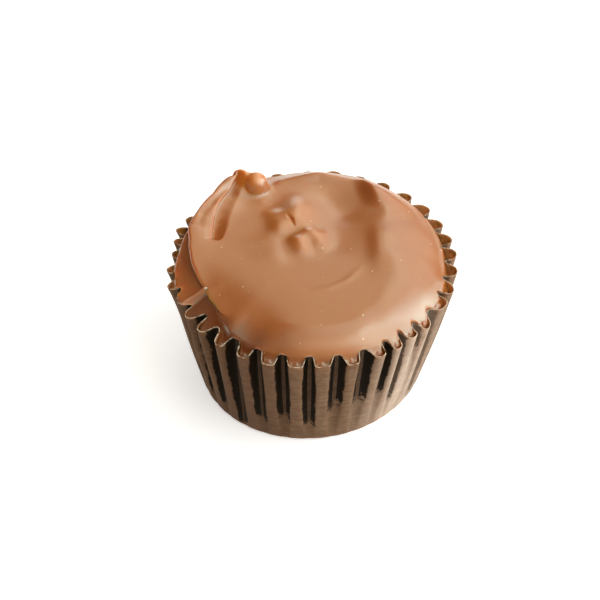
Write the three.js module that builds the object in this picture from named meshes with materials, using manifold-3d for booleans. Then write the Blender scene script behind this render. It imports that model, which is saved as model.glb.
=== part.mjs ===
// A chocolate crispy cup: crisped rice set in milk chocolate, poured into a small pleated paper case.
// Two pieces: the paper case, and the chocolate that fills it and stands above its rim.
// Millimetres, +Z up. The case stands on z = 0, the middle of its rim is over the origin,
// and the side that faces -Y is the front. Directions round the cup are in degrees, from 0 at
// the right (+X) through 90 at the back (+Y).
import * as THREE from "three";
import { mergeVertices } from "three/addons/utils/BufferGeometryUtils.js";
import Module from "manifold-3d";

const wasm = await Module();
wasm.setup();

// The paper case
const CASE_HEIGHT = 21.5;
const RIM_RADIUS = 22.8; // to the outward folds, at the rim
const BASE_RADIUS = 17.7;
const BASE_SHIFT = -0.2; // the foot sits a little to the left of the rim
const BASE_SKEW = 0.55; // and is a little oval
const RIM_SLOPE = { right: 0.025, back: 0.02 }; // rise of the rim for each millimetre
const BELLY = 0.2; // how far the wall bulges halfway up
const PAPER = 0.3;
const FOOT_BEND = 0.7; // height over which the floor turns up into the wall

// The pleats in its wall
const PLEATS = 35;
const PLEAT_DEPTH = 2.5;
const FOOT_DEPTH = 0.25;
const FIRST_PLEAT = 37.9;
// degrees by which the pleats stray from even spacing, in waves that run once and twice round
const DRIFT = { onceSine: 3.2, onceCosine: -2.1, twiceSine: -4.2, twiceCosine: -2.1 };
const RUFFLE = { depth: 0.08, turn: 0.08, height: 0.25 }; // uneven share, share of a pleat, millimetres
const CREST_FLATTENING = 0.85;
const CREST_WIDENING = 0.72;
const DEPTH_GROWTH = 0.8; // the pleats deepen quickly above the foot, and then more slowly
const COLUMNS_PER_PLEAT = 6;
const WALL_LEVELS = [0.12, 0.38, 0.68, 1];
const SHARPEST_CORNER = 0.55; // limits how far the paper's corners are drawn out

// The room for the chocolate in the case
const GAP = 0.3; // between the chocolate and the paper
const FILLING_LEVELS = [0.38, 1];
// Where the chocolate covers the inward folds of the paper (1) and where they stand free (0).
const COVERED = [[25, 0], [50, 1], [285, 0.85], [300, 0.4], [335, 0]];
const LEDGE = 0.05; // rise of the ledge where the chocolate spreads out over a fold

// The top of the chocolate is a poured plate. It breaks off in a lip on the left, drops behind
// a shoulder on the right and at the back, and runs down smoothly to the paper at the front.
const PLATEAU = 3.6; // height of the top above the rim, at the middle
const BACK_FALL = 0.03; // how much lower it gets for each millimetre to the back
const SHOULDER = {
  // radius where the shoulder ends
  end: [
    [0, 21.2], [25, 20.9], [50, 20], [72, 18.5], [95, 19], [124, 20.9], [145, 20.9], [162, 20.5],
    [184, 19.5], [203, 18.9], [216, 19], [230, 20.2], [270, 20.8], [325, 21.2],
  ],
  // how wide the rounding is
  width: [
    [0, 6], [50, 3.2], [72, 1], [105, 1], [130, 0.8], [205, 0.8], [226, 2.5], [245, 8], [290, 9.5],
    [330, 8],
  ],
  // how far it turns down, in degrees
  turn: [[0, 60], [50, 70], [72, 80], [205, 86], [232, 66], [270, 52], [320, 52]],
  // height of its foot above the rim
  foot: [
    [0, 0.5], [50, 1], [72, 1.7], [100, 1.9], [130, 1.2], [165, 1], [200, 0.7], [240, 0.3],
    [270, 0.25], [320, 0.3],
  ],
  // slope from there towards the paper
  slope: [[0, 0.9], [50, 0.8], [72, 0.5], [110, 0.5], [150, 0.6], [200, 0.3], [300, 0.2], [335, 0.5]],
  // radius from which it drops into the folds of the paper
  brink: [[0, 21.2], [40, 20.7], [90, 20.4], [150, 21], [190, 21.3], [205, 23], [250, 22.2], [335, 21.6]],
};
const BRINK_DROP = { steepness: 2.4, power: 1.5 };

// Crisps of rice under the chocolate: two ends of each grain, its half width and its rise.
const CRISPS = [
  { from: [-10.2, 13.8], to: [-7.8, 13.6], width: 1.7, rise: 1.9 },
  { from: [-6.9, 5.2], to: [-5.6, 5.6], width: 1.3, rise: 0.8 },
  { from: [-4.4, 7.8], to: [-2.9, 7.2], width: 1.4, rise: 1.1 },
  { from: [-3.0, 2.5], to: [1.0, 2.3], width: 1.3, rise: 1.3 },
  { from: [-1.6, 0.7], to: [-0.6, 0.4], width: 1.1, rise: 0.7 },
  { from: [9.2, 13.3], to: [10.8, 12.9], width: 2.2, rise: 1.7 },
  { from: [12.0, 11.0], to: [15.0, 8.2], width: 2.0, rise: 0.9 },
  { from: [11.8, 3.4], to: [12.8, 0.4], width: 2.3, rise: 0.6 },
];

// The ridge that the spoon swept up along the lip, from the back round to the left.
const RIDGE = {
  path: [[-11.4, 16.8], [-14.6, 14.6], [-17.0, 11.4], [-18.6, 7.4], [-19.2, 2.4]],
  width: 1.5,
  rise: [2.7, 2.4, 1.6, 0.8, 0.2],
};
// The groove that the tip of the spoon left beside it, from the back to its rounded end: its
// middle, and how far it reaches to the left, to the right and down at each of those points.
const GROOVE = {
  path: [
    [-11.0, 14.6], [-11.9, 13.4], [-13.0, 11.6], [-14.0, 9.0], [-14.5, 6.4], [-14.7, 4.2], [-14.7, 2.9],
  ],
  left: [0.3, 0.9, 1.2, 1.3, 1.3, 1.1, 0.5],
  right: [0.5, 1.3, 1.9, 2.2, 2.0, 1.2, 0.5],
  down: [0.4, 1.2, 1.5, 1.6, 1.5, 1.3, 0.6],
};
// A rib from the lip down the drop on the left, which fills one fold of the paper.
const RIB = { direction: 203, width: 4.5, rise: 1.3 };

// How finely the chocolate is divided
const TOP_COLUMNS = 120;
const COLUMN_CROWDING = { share: 0.35, towards: 160 }; // closer on the left, the busiest side
const TOP_RINGS = 15;
const RING_CROWDING = 0.8; // closer towards the shoulder
const SHOULDER_RINGS = 4;
const OUTER_RINGS = [2.15, 2.27, 2.4, 3];
const BLOCK_RADIUS = 25;
const BLOCK_FLOOR = -1;
const GROOVE_COLUMNS = 12;

const TURN = 2 * Math.PI;
const degrees = (value) => (value * Math.PI) / 180;
const mix = (a, b, share) => a + (b - a) * share;
const clamp = (value) => Math.min(1, Math.max(0, value));
const swell = (distance, width) => Math.exp(-((distance / width) ** 2));

function ease(value) {
  const share = clamp(value);
  return share * share * (3 - 2 * share);
}

// An even random number from -1 to 1 for each whole number, the same in every run.
function uneven(number, seed) {
  const wave = Math.sin(number * 12.9898 + seed * 78.233) * 43758.5453;
  return 2 * (wave - Math.floor(wave)) - 1;
}

// A value that changes round the cup, eased from one named direction to the next. Stops are
// pairs of a direction and the value there.
function roundTheCup(angle, stops) {
  const at = ((((angle * 180) / Math.PI) % 360) + 360) % 360;
  const [first, last] = [stops[0], stops.at(-1)];
  const ring = [[last[0] - 360, last[1]], ...stops, [first[0] + 360, first[1]]];
  const after = ring.findIndex(([stop]) => stop > at);
  const [[a, valueBefore], [b, valueAfter]] = ring.slice(after - 1, after + 1);
  return mix(valueBefore, valueAfter, ease((at - a) / (b - a)));
}

const rimHeight = (x, y) => CASE_HEIGHT + RIM_SLOPE.right * x + RIM_SLOPE.back * y;

function atHeight(point, z) {
  point.z = z;
  return point;
}

// The middle of the paper at a column of the wall, at a level from 0 at the foot to 1 at the rim.
function wallPoint(column, level) {
  const phase = column / COLUMNS_PER_PLEAT;
  const pleat = Math.round(phase);
  const number = ((pleat % PLEATS) + PLEATS) % PLEATS;
  const side = Math.sign(phase - pleat);
  const share = 2 * Math.abs(phase - pleat); // 0 on the outward fold, 1 on the inward fold
  const sway = (RUFFLE.turn * uneven(number, 1) * level * (1 + Math.cos(Math.PI * share))) / 2;
  const across =
    share +
    (CREST_FLATTENING * level * Math.sin(TURN * share)) / TURN +
    (CREST_WIDENING * level * Math.sin(Math.PI * share)) / Math.PI;
  const even = degrees(FIRST_PLEAT) + (TURN * (pleat + (side * across) / 2 + sway)) / PLEATS;
  const angle =
    even +
    degrees(DRIFT.onceSine) * Math.sin(even) +
    degrees(DRIFT.onceCosine) * Math.cos(even) +
    degrees(DRIFT.twiceSine) * Math.sin(2 * even) +
    degrees(DRIFT.twiceCosine) * Math.cos(2 * even);
  const unevenDepth = 1 + RUFFLE.depth * uneven(number, 2);
  const foldDepth = mix(FOOT_DEPTH, PLEAT_DEPTH, level ** DEPTH_GROWTH) * unevenDepth;
  const crest = mix(BASE_RADIUS, RIM_RADIUS - PAPER / 2, level) + BELLY * Math.sin(Math.PI * level);
  const oval = BASE_SKEW * (1 - level) * Math.sin(2 * angle);
  const radius = crest + oval - (foldDepth * (1 - Math.cos(Math.PI * share))) / 2;
  const x = radius * Math.cos(angle) + BASE_SHIFT * (1 - level);
  const y = radius * Math.sin(angle);
  const ruffled = RUFFLE.height * uneven(number, 3) * Math.cos((Math.PI * share) / 2);
  return new THREE.Vector3(x, y, level * (rimHeight(x, y) + ruffled));
}

// The wall's point moved out of the paper's middle by a distance, square to the pleated line.
function wallFace(column, level, outwards) {
  const before = wallPoint(column - 1, level);
  const here = wallPoint(column, level);
  const after = wallPoint(column + 1, level);
  const into = new THREE.Vector2(here.x - before.x, here.y - before.y).normalize();
  const onward = new THREE.Vector2(after.x - here.x, after.y - here.y).normalize();
  const normal = new THREE.Vector2(into.y + onward.y, -into.x - onward.x).normalize();
  const mitre = Math.max(SHARPEST_CORNER, normal.x * into.y - normal.y * into.x);
  here.x += (normal.x * outwards) / mitre;
  here.y += (normal.y * outwards) / mitre;
  return here;
}

// A closed body of columns round an axis. Its first and last rows are points on the axis, and
// each row between gives the point for a column.
function turnedBody(rows, columns) {
  const outline = rows.map((row, index) => new THREE.Vector2(typeof row === "function" ? 1 : 0, index));
  const geometry = new THREE.LatheGeometry(outline, columns);
  const position = geometry.getAttribute("position");
  for (let vertex = 0; vertex < position.count; vertex++) {
    const row = rows[vertex % rows.length];
    const column = Math.floor(vertex / rows.length) % columns;
    const point = typeof row === "function" ? row(column) : row;
    position.setXYZ(vertex, point.x, point.y, point.z);
  }
  return geometry;
}

function solidOf(geometry) {
  const bare = geometry.clone();
  bare.deleteAttribute("normal");
  bare.deleteAttribute("uv");
  const merged = mergeVertices(bare, 1e-4);
  return new wasm.Manifold(
    new wasm.Mesh({
      numProp: 3,
      vertProperties: merged.getAttribute("position").array,
      triVerts: new Uint32Array(merged.index.array),
    }),
  );
}

function geometryOf(solid) {
  const mesh = solid.getMesh();
  const geometry = new THREE.BufferGeometry();
  geometry.setAttribute("position", new THREE.BufferAttribute(mesh.vertProperties, 3));
  geometry.setIndex(new THREE.BufferAttribute(mesh.triVerts, 1));
  geometry.computeVertexNormals();
  return geometry;
}

// The case is one skin of paper: a flat floor, then the pleated wall up to the cut rim.
function paperCase() {
  const outer = PAPER / 2;
  const bendLevel = FOOT_BEND / CASE_HEIGHT;
  const rows = [
    new THREE.Vector3(BASE_SHIFT, 0, 0),
    (column) => atHeight(wallFace(column, 0, outer), 0),
    (column) => atHeight(wallFace(column, bendLevel, outer), FOOT_BEND),
    ...WALL_LEVELS.map((level) => (column) => wallFace(column, level, outer)),
    ...WALL_LEVELS.toReversed().map((level) => (column) => wallFace(column, level, -outer)),
    (column) => atHeight(wallFace(column, bendLevel, -outer), FOOT_BEND + PAPER),
    (column) => atHeight(wallFace(column, 0, -outer), PAPER),
    new THREE.Vector3(BASE_SHIFT, 0, PAPER),
  ];
  return turnedBody(rows, PLEATS * COLUMNS_PER_PLEAT);
}

// The space that the chocolate can fill: inside the pleats up to the rim, and a round one above.
function roomForChocolate() {
  const inwards = -(PAPER / 2 + GAP);
  const floor = PAPER + GAP;
  const rim = (column) => wallFace(column, 1, inwards);
  const clear = (point) => rimHeight(point.x, point.y) + RUFFLE.height + GAP;
  const above = (column, rise) => {
    const fold = rim(column);
    const widest = RIM_RADIUS - PAPER - GAP;
    const covered = roundTheCup(Math.atan2(fold.y, fold.x), COVERED);
    const wider = mix(1, widest / Math.hypot(fold.x, fold.y), covered);
    return new THREE.Vector3(fold.x * wider, fold.y * wider, clear(fold) + rise);
  };
  const rows = [
    new THREE.Vector3(BASE_SHIFT, 0, floor),
    (column) => atHeight(wallFace(column, 0, inwards), floor),
    (column) => atHeight(wallFace(column, FOOT_BEND / CASE_HEIGHT, inwards), FOOT_BEND + floor),
    ...FILLING_LEVELS.map((level) => (column) => wallFace(column, level, inwards)),
    (column) => atHeight(rim(column), clear(rim(column))),
    (column) => above(column, LEDGE),
    (column) => above(column, CASE_HEIGHT),
    new THREE.Vector3(0, 0, 2 * CASE_HEIGHT),
  ];
  return turnedBody(rows, PLEATS * COLUMNS_PER_PLEAT);
}

// Distance from a point to a line of points, with the share of the way along it.
function alongPath(x, y, path) {
  let best = { distance: Infinity, at: 0 };
  for (let i = 0; i + 1 < path.length; i++) {
    const [ax, ay] = path[i];
    const [dx, dy] = [path[i + 1][0] - ax, path[i + 1][1] - ay];
    const share = clamp(((x - ax) * dx + (y - ay) * dy) / (dx * dx + dy * dy));
    const distance = Math.hypot(x - ax - share * dx, y - ay - share * dy);
    if (distance < best.distance) best = { distance, at: i + share };
  }
  return best;
}

function ridge(x, y) {
  const { distance, at } = alongPath(x, y, RIDGE.path);
  const stretch = Math.min(RIDGE.rise.length - 2, Math.floor(at));
  return mix(RIDGE.rise[stretch], RIDGE.rise[stretch + 1], at - stretch) * swell(distance, RIDGE.width);
}

const crisp = (x, y, { from, to, width, rise }) => rise * swell(alongPath(x, y, [from, to]).distance, width);

// Height of the poured plate above the rim, before its shoulder turns down.
function plate(x, y) {
  const lumps = CRISPS.reduce((sum, grain) => sum + crisp(x, y, grain), 0);
  return PLATEAU - BACK_FALL * y + lumps + ridge(x, y);
}

// A point of the chocolate's top. Share runs from 0 in the middle through 1, where the shoulder
// starts, to 2, where it ends, and to 3 at the edge of the block.
function topPoint(angle, share) {
  const here = Object.values(SHOULDER).map((stops) => roundTheCup(angle, stops));
  const [end, width, turn, foot, slope, brink] = here;
  const last = degrees(turn);
  const bend = last * clamp(share - 1);
  const beyond = Math.max(0, share - 2) * (BLOCK_RADIUS - end);
  const arc = width / Math.sin(last);
  const radius = Math.min(share, 1) * (end - width) + arc * Math.sin(bend) + beyond;
  const [x, y] = [radius * Math.cos(angle), radius * Math.sin(angle)];
  const down = (1 - Math.cos(bend)) / (1 - Math.cos(last));
  const rib = RIB.rise * swell(angle - degrees(RIB.direction), degrees(RIB.width)) * ease(share - 1);
  const drop = BRINK_DROP.steepness * Math.max(0, radius - brink) ** BRINK_DROP.power;
  const height = mix(plate(x, y), foot - slope * beyond - drop + rib, down);
  return new THREE.Vector3(x, y, rimHeight(x, y) + height);
}

function columnAngle(column) {
  const even = (TURN * column) / TOP_COLUMNS;
  const angle = even - COLUMN_CROWDING.share * Math.sin(even - degrees(COLUMN_CROWDING.towards));
  return (angle + TURN) % TURN;
}

// The body that the spoon's groove takes out of the top: an oval that runs along its path.
function grooveBody() {
  const { path, left, right, down } = GROOVE;
  const middle = (i) => new THREE.Vector3(...path[i], rimHeight(...path[i]) + plate(...path[i]));
  const last = path.length - 1;
  const rows = path.map((_, i) => (column) => {
    const before = middle(Math.max(0, i - 1));
    const along = middle(Math.min(last, i + 1)).sub(before).setZ(0).normalize();
    const round = (TURN * column) / GROOVE_COLUMNS;
    const across = Math.cos(round) * (Math.cos(round) > 0 ? right[i] : left[i]);
    return middle(i).add(new THREE.Vector3(-along.y * across, along.x * across, Math.sin(round) * down[i]));
  });
  return turnedBody([middle(0), ...rows, middle(last)], GROOVE_COLUMNS);
}

function chocolate() {
  const shares = [
    ...Array.from({ length: TOP_RINGS }, (_, ring) => ((ring + 1) / TOP_RINGS) ** RING_CROWDING),
    ...Array.from({ length: SHOULDER_RINGS }, (_, ring) => 1 + (ring + 1) / SHOULDER_RINGS),
    ...OUTER_RINGS,
  ];
  const rows = [
    new THREE.Vector3(0, 0, BLOCK_FLOOR),
    (column) => atHeight(topPoint(columnAngle(column), OUTER_RINGS.at(-1)), BLOCK_FLOOR),
    ...shares.toReversed().map((share) => (column) => topPoint(columnAngle(column), share)),
    topPoint(0, 0),
  ];
  const block = solidOf(turnedBody(rows, TOP_COLUMNS));
  return geometryOf(block.subtract(solidOf(grooveBody())).intersect(solidOf(roomForChocolate())));
}

function named(name, geometry, look) {
  const mesh = new THREE.Mesh(geometry, new THREE.MeshStandardMaterial(look));
  mesh.name = name;
  return mesh;
}

const cup = new THREE.Group();
cup.add(
  named("paper_case", paperCase(), { color: 0x5c4536, roughness: 0.6, metalness: 0 }),
  named("chocolate", chocolate(), { color: 0xb17e56, roughness: 0.38, metalness: 0 }),
);

export default cup;
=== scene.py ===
# A chocolate crispy cup: crisped rice set in milk chocolate, in a small pleated paper case.
# The case stands on z = 0 with the middle of its rim over the origin, and the front faces -Y.
import math

import bmesh
import bpy
import numpy as np
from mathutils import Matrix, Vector


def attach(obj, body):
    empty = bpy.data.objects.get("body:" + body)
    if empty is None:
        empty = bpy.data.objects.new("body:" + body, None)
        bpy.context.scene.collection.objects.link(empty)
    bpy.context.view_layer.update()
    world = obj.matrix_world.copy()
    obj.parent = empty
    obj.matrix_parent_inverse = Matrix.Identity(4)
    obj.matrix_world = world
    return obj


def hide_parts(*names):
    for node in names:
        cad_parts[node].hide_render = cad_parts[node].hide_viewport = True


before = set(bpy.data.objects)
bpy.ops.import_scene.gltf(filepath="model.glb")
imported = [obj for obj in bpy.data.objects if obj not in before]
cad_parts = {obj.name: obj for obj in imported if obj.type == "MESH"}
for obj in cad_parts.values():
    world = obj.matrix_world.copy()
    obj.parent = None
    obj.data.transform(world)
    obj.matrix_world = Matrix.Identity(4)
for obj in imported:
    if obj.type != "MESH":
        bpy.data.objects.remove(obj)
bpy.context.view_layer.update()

# The camera stands in front of the cup and looks down on it from well above.
CAMERA_ELEVATION = math.radians(43.17)
CAMERA_DISTANCE = 0.400
CAMERA_AIM = Vector((-0.00214, 0.00338, 0.01075))
CAMERA_LENS = 148.08  # its focal length in millimetres, for a picture 36 mm wide

lens = bpy.data.cameras.new("camera")
lens.sensor_width = 36
lens.lens = CAMERA_LENS
camera = bpy.data.objects.new("camera", lens)
towards_camera = Vector((0, -math.cos(CAMERA_ELEVATION), math.sin(CAMERA_ELEVATION)))
camera.location = CAMERA_AIM + CAMERA_DISTANCE * towards_camera
camera.rotation_euler = (math.pi / 2 - CAMERA_ELEVATION, 0, 0)
bpy.context.scene.collection.objects.link(camera)
bpy.context.scene.camera = camera


# The table is a plain matt white board under a dim studio sky. Wide soft lamps stand far off
# round it: low ones at the right and behind, for the shine on the chocolate, and high ones that
# light the cup evenly.
class Wire:
    """A socket of a material. Sums written on it add Math nodes, and make() adds any other node."""

    def __init__(self, tree, socket=None):
        self.tree = tree
        self.socket = socket

    def make(self, kind, settings=None, inputs=None, output=None):
        node = self.tree.nodes.new("ShaderNode" + kind)
        for name, value in (settings or {}).items():
            setattr(node, name, value)
        for name, value in (inputs or {}).items():
            entry = node.inputs[name] if isinstance(name, int) else open_socket(node.inputs, name)
            if isinstance(value, Wire):
                self.tree.links.new(value.socket, entry)
            else:
                entry.default_value = value
        out = node.outputs[0] if output is None else open_socket(node.outputs, output)
        if kind == "Mix":
            out = next(socket for socket in node.outputs if socket.enabled)
        return Wire(self.tree, out)

    def sum(self, operation, first, second):
        return self.make("Math", {"operation": operation}, {0: first, 1: second})

    def __add__(self, other):
        return self.sum("ADD", self, other)

    def __radd__(self, other):
        return self.sum("ADD", other, self)

    def __sub__(self, other):
        return self.sum("SUBTRACT", self, other)

    def __rsub__(self, other):
        return self.sum("SUBTRACT", other, self)

    def __mul__(self, other):
        return self.sum("MULTIPLY", self, other)

    def __rmul__(self, other):
        return self.sum("MULTIPLY", other, self)

    def __pow__(self, other):
        return self.sum("POWER", self, other)

    def __rpow__(self, other):
        return self.sum("POWER", other, self)

    def between(self, low, high):
        """0 below low, 1 above high, and eased from one to the other."""
        settings = {"interpolation_type": "SMOOTHSTEP"}
        return self.make("MapRange", settings, {"Value": self, "From Min": low, "From Max": high})


def open_socket(sockets, name):
    return next(socket for socket in sockets if socket.enabled and socket.name == name)


def new_finish(name):
    """A material with its shader, and a wire to write on it with."""
    finish = bpy.data.materials.new(name)
    finish.use_nodes = True
    shader = finish.node_tree.nodes["Principled BSDF"]
    return finish, shader, Wire(finish.node_tree)


def blended(share, first, second):
    """The second colour over the first, by a share."""
    return share.make("Mix", {"data_type": "RGBA"}, {"Factor": share, "A": first, "B": second})


def wire_up(shader, name, wire):
    wire.tree.links.new(wire.socket, shader.inputs[name])


TABLE_SIZE = 3.0  # from its middle to its edge, in metres
TABLE_WHITE = (0.86, 0.86, 0.85, 1)
TABLE_GLOW = 0.57  # the table is lit to more than white, so the cup's shadow on it stays pale

table_mesh = bpy.data.meshes.new("table")
shape = bmesh.new()
bmesh.ops.create_grid(shape, x_segments=1, y_segments=1, size=TABLE_SIZE)
shape.to_mesh(table_mesh)
shape.free()
table = bpy.data.objects.new("table", table_mesh)
bpy.context.scene.collection.objects.link(table)
table_white, table_shader, _ = new_finish("table white")
table_shader.inputs["Base Color"].default_value = TABLE_WHITE
table_shader.inputs["Roughness"].default_value = 0.8
table_shader.inputs["Specular IOR Level"].default_value = 0.2
table_shader.inputs["Emission Color"].default_value = (1, 1, 1, 1)
table_shader.inputs["Emission Strength"].default_value = TABLE_GLOW
table_mesh.materials.append(table_white)

SKY_STRENGTH = 0.01
# Of each lamp: its direction in degrees from the right through the back, its height above the
# table in degrees, how wide it looks in degrees, its strength, and its colour.
LAMPS = [
    (12, 42, 34, 0.36, (0.85, 1.0, 1.15)),
    (12, 22, 32, 1.0, (0.85, 1.05, 1.1)),
    (-24, 14, 34, 0.6, (0.8, 1.0, 1.1)),
    (62, 32, 45, 0.6, (1.0, 0.96, 0.94)),
    (90, 52, 40, 0.27, (1.1, 0.95, 0.75)),
    (90, 4, 24, 0.3, (1.0, 1.0, 1.0)),
    (140, 50, 60, 0.06, (1.0, 1.0, 1.0)),
    (20, 66, 50, 0.4, (1.0, 1.0, 1.0)),
    (-60, 74, 70, 0.72, (1.0, 1.0, 0.88)),
    (-30, 40, 50, 1.05, (0.97, 1.0, 1.02)),
    (-75, 35, 70, 0.46, (1.25, 0.92, 0.7)),
]
sky = bpy.data.worlds.new("studio sky")
sky.use_nodes = True
sky.node_tree.nodes["Background"].inputs["Color"].default_value = (1, 1, 1, 1)
sky.node_tree.nodes["Background"].inputs["Strength"].default_value = SKY_STRENGTH
bpy.context.scene.world = sky
for direction, height, width, strength, colour in LAMPS:
    light = bpy.data.lights.new("soft lamp", "SUN")
    light.angle = math.radians(width)
    light.energy = strength
    light.color = colour
    lamp = bpy.data.objects.new("soft lamp", light)
    lamp.rotation_euler = (math.pi / 2 - math.radians(height), 0, math.pi / 2 + math.radians(direction))
    bpy.context.scene.collection.objects.link(lamp)
bpy.context.scene.view_settings.view_transform = "Standard"

# The paper case: one round of thin brown greaseproof paper, pressed into a cup so that its
# wall gathers into pleats. The top is a plain cut edge. Sizes are in millimetres from here on.
MILLIMETRE = 0.001
CASE_HEIGHT = 21.5
RIM_RADIUS = 22.8  # to the outward folds, at the rim
BASE_RADIUS = 17.7
BASE_SHIFT = -0.2  # the foot sits a little to the left of the rim
BASE_SKEW = 0.55  # and is a little oval
RIM_SLOPE_RIGHT = 0.025  # rise of the rim for each millimetre to the right
RIM_SLOPE_BACK = 0.02  # and to the back
RIM_DIP = 0.35  # the rim is a little lower at the back
RIM_DIP_PLACE = (2, 23)
RIM_DIP_WIDTH = 14
BELLY = 0.2  # how far the wall bulges halfway up
PAPER = 0.14  # how thick the paper is
CUT_EDGE_RISE = 0.3  # how far its cut edge is rounded up, as a share of that
FOOT_ROUNDING = 0.9  # radius of the bend from the floor up into the wall

# Directions of the outward folds round the cup, in degrees from the right through the back.
FOLD_DIRECTIONS = [
    47.4, 57.9, 69.6, 81.4, 92.8, 105.2, 116.5, 127.8, 139.1, 150.4, 158.4, 164.8, 171.8, 180.9,
    189.5, 199.3, 209.1, 218.8, 228.2, 240.0, 250.6, 262.2, 274.2, 285.1, 296.4, 305.4, 312.7,
    321.6, 333.8, 344.4, 354.6, 364.4, 374.0, 384.4, 394.8,
]
PLEATS = len(FOLD_DIRECTIONS)
COLUMNS_PER_PLEAT = 18
COLUMNS = PLEATS * COLUMNS_PER_PLEAT
# Values that change round the cup are pairs of a direction in degrees and the value there.
PLEAT_DEPTH = [
    (0, 2.15), (60, 2.3), (150, 2.4), (205, 2.5), (240, 2.4), (270, 2.3), (300, 2.25), (330, 2.1),
]
# Where the outward folds are round lobes with narrow gaps between them (1), and where they are
# flat with wide gaps (0).
LOBED = [(0, 1), (150, 1), (205, 0.8), (238, 0), (300, 0), (325, 0.5)]
FOOT_DEPTH = 0.06  # depth of the folds at the foot
FOOT_BAND = 0.05  # the lowest part of the wall, which is pressed smooth
# The power of the height that gives the depth of the folds: below 1 they deepen quickly above
# the foot and then more slowly, and above 1 the other way.
DEPTH_GROWTH = [
    (0, 1.0), (60, 0.8), (160, 0.75), (262, 0.75), (285, 0.9), (300, 1.1), (322, 1.25), (345, 1.1),
]
DEPTH_GROWTH_UNEVEN = 0.15
FLATTENED_FOLDS = {26: 3.0}  # the fold after this pleat is pressed flat except near the rim
FOLD_RISE = 0.4  # the inward folds stand up steeper, so their edge ends higher
# Outward folds whose top curls out, by the number of their pleat, and how far.
CURLED_FOLDS = {9: 0.9, 10: 1.1, 11: 0.4, 13: 0.5, 14: 0.6}
CURL_POWER = 6  # keeps the curl to the top of the fold
# Half a pleat, from the middle of the outward fold to the middle of the inward one: the shares
# of its width and of its depth, high on the wall and low on it.
HIGH_FORM_SPEED = 1.3  # the high form is reached at 1 / 1.3 of the way up the wall
PLEAT_WIDTHS_HIGH = [0, 0.14, 0.28, 0.39, 0.47, 0.54, 0.61, 0.70, 0.83, 1]
PLEAT_DEPTHS_HIGH = [0, 0.01, 0.03, 0.08, 0.20, 0.42, 0.66, 0.87, 0.98, 1]
PLEAT_WIDTHS_LOBED = [0, 0.22, 0.40, 0.53, 0.62, 0.68, 0.73, 0.79, 0.88, 1]
PLEAT_DEPTHS_LOBED = [0, 0.05, 0.16, 0.31, 0.48, 0.66, 0.82, 0.92, 0.98, 1]
PLEAT_WIDTHS_LOW = [0, 0.16, 0.32, 0.46, 0.57, 0.65, 0.72, 0.80, 0.89, 1]
PLEAT_DEPTHS_LOW = [0, 0.00, 0.02, 0.07, 0.20, 0.42, 0.67, 0.88, 0.98, 1]
WAIST = 0.08  # how much narrower the outward folds are halfway up
# How uneven the folds are: in depth and width as shares, in place at the rim as a share of a
# pleat, and in the height of the rim in millimetres.
RUFFLE_DEPTH = 0.10
RUFFLE_WIDTH = 0.10
RUFFLE_TURN = 0.10
RUFFLE_HEIGHT = 0.28
WALL_ROWS = 30
SHARPEST_CORNER = 0.5  # limits how far the paper's corners are drawn out


def mix(a, b, share):
    return a + (b - a) * share


def ease(value):
    share = np.clip(value, 0, 1)
    return share * share * (3 - 2 * share)


def swell(distance, width):
    return np.exp(-((distance / width) ** 2))


def uneven(number, seed):
    """An even random number from -1 to 1 for each whole number, the same in every run."""
    wave = np.sin(number * 12.9898 + seed * 78.233) * 43758.5453
    return 2 * (wave - np.floor(wave)) - 1


def rim_height(x, y):
    back = swell(np.hypot(x - RIM_DIP_PLACE[0], y - RIM_DIP_PLACE[1]), RIM_DIP_WIDTH)
    return CASE_HEIGHT + RIM_SLOPE_RIGHT * x + RIM_SLOPE_BACK * y - RIM_DIP * back


def fold_direction(phase):
    """Direction, in radians, of a place counted in pleats from the first outward fold."""
    turns = np.floor(phase / PLEATS)
    folds = np.array([*FOLD_DIRECTIONS, FOLD_DIRECTIONS[0] + 360])
    degrees = np.interp(phase - turns * PLEATS, np.arange(PLEATS + 1), folds)
    return np.radians(degrees + 360 * turns)


def round_the_cup(angle, stops):
    at = np.degrees(angle) % 360
    ring = [(stops[-1][0] - 360, stops[-1][1]), *stops, (stops[0][0] + 360, stops[0][1])]
    directions = np.array([direction for direction, _ in ring])
    values = np.array([value for _, value in ring])
    after = np.searchsorted(directions, at, side="right")
    share = (at - directions[after - 1]) / (directions[after] - directions[after - 1])
    return mix(values[after - 1], values[after], ease(share))


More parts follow.
